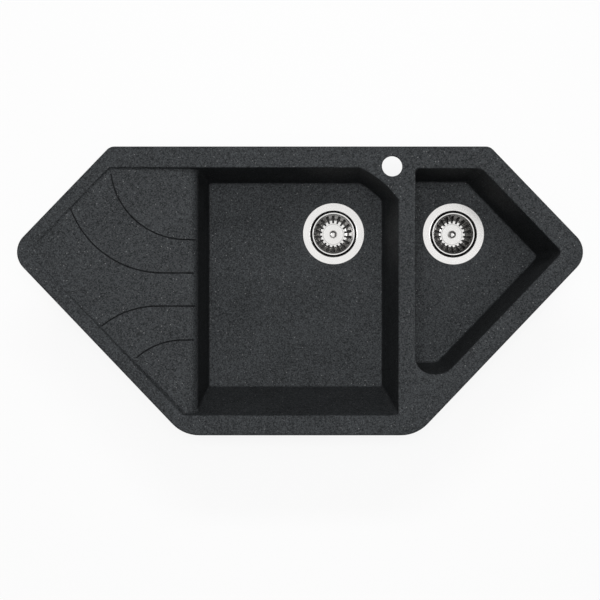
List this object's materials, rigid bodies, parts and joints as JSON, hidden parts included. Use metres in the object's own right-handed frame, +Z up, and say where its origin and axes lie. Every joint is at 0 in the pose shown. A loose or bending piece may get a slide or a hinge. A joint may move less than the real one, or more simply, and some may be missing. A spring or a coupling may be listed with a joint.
{
  "type": "corner kitchen sink",
  "caption": "Inset corner kitchen sink of dark stone composite with a grooved drainer, a deep main bowl, a smaller half bowl, a tap hole and basket strainer wastes.",
  "frame": {"origin": "middle of the deck, on the worktop's surface, where the rim's underside rests", "axes": "+X to the right along the longer side, +Y to the back, +Z up"},
  "size_m": [0.9598, 0.49, 0.2757],
  "materials": {
    "composite": "matt with fine light flecks",
    "steel": "satin",
    "rubber": "matt",
    "plastic": "smooth",
    "brass": "turned"
  },
  "bodies": {
    "sink": {"sink_body": "composite", "clamp_screws": "steel", "clamp_dowels": "plastic", "main_flange_gasket": "rubber", "main_strainer_cup": "steel", "main_under_gasket": "rubber", "main_waste_housing": "plastic", "main_waste_screw": "steel", "main_waste_nut": "brass", "half_flange_gasket": "rubber", "half_strainer_cup": "steel", "half_under_gasket": "rubber", "half_waste_housing": "plastic", "half_waste_screw": "steel", "half_waste_nut": "brass"},
    "main_basket_unit": {"main_basket": "steel", "main_basket_plate": "steel", "main_basket_knob": "steel", "main_plug_seal": "rubber", "main_plug_washer": "steel"},
    "half_basket_unit": {"half_basket": "steel", "half_basket_plate": "steel", "half_basket_knob": "steel", "half_plug_seal": "rubber", "half_plug_washer": "steel"},
    "clamp_1_bar": {"clamp_1": "steel"},
    "clamp_2_bar": {"clamp_2": "steel"},
    "clamp_3_bar": {"clamp_3": "steel"},
    "clamp_4_bar": {"clamp_4": "steel"},
    "clamp_5_bar": {"clamp_5": "steel"},
    "clamp_6_bar": {"clamp_6": "steel"},
    "clamp_7_bar": {"clamp_7": "steel"},
    "clamp_8_bar": {"clamp_8": "steel"}
  },
  "joints": [
    {"name": "main_basket_lift", "type": "slide", "parent": "sink", "child": "main_basket_unit", "axis": [0, 0, 1], "range_m": [0, 0.25]},
    {"name": "half_basket_lift", "type": "slide", "parent": "sink", "child": "half_basket_unit", "axis": [0, 0, 1], "range_m": [0, 0.25]},
    {"name": "clamp_1_swing", "type": "hinge", "parent": "sink", "child": "clamp_1_bar", "pos_m": [0.25, 0.225, -0.0445], "axis": [0, 0, -1], "range_deg": [0, 90]},
    {"name": "clamp_2_swing", "type": "hinge", "parent": "sink", "child": "clamp_2_bar", "pos_m": [0, 0.225, -0.0445], "axis": [0, 0, -1], "range_deg": [0, 90]},
    {"name": "clamp_3_swing", "type": "hinge", "parent": "sink", "child": "clamp_3_bar", "pos_m": [-0.25, 0.225, -0.0445], "axis": [0, 0, 1], "range_deg": [0, 90]},
    {"name": "clamp_4_swing", "type": "hinge", "parent": "sink", "child": "clamp_4_bar", "pos_m": [0.39409, 0.14163, -0.0445], "axis": [0, 0, -1], "range_deg": [0, 90]},
    {"name": "clamp_5_swing", "type": "hinge", "parent": "sink", "child": "clamp_5_bar", "pos_m": [0.33182, -0.0757, -0.0445], "axis": [0, 0, 1], "range_deg": [0, 90]},
    {"name": "clamp_6_swing", "type": "hinge", "parent": "sink", "child": "clamp_6_bar", "pos_m": [0, -0.225, -0.0445], "axis": [0, 0, -1], "range_deg": [0, 90]},
    {"name": "clamp_7_swing", "type": "hinge", "parent": "sink", "child": "clamp_7_bar", "pos_m": [-0.33182, -0.0757, -0.0445], "axis": [0, 0, -1], "range_deg": [0, 90]},
    {"name": "clamp_8_swing", "type": "hinge", "parent": "sink", "child": "clamp_8_bar", "pos_m": [-0.39409, 0.14163, -0.0445], "axis": [0, 0, 1], "range_deg": [0, 90]}
  ]
}
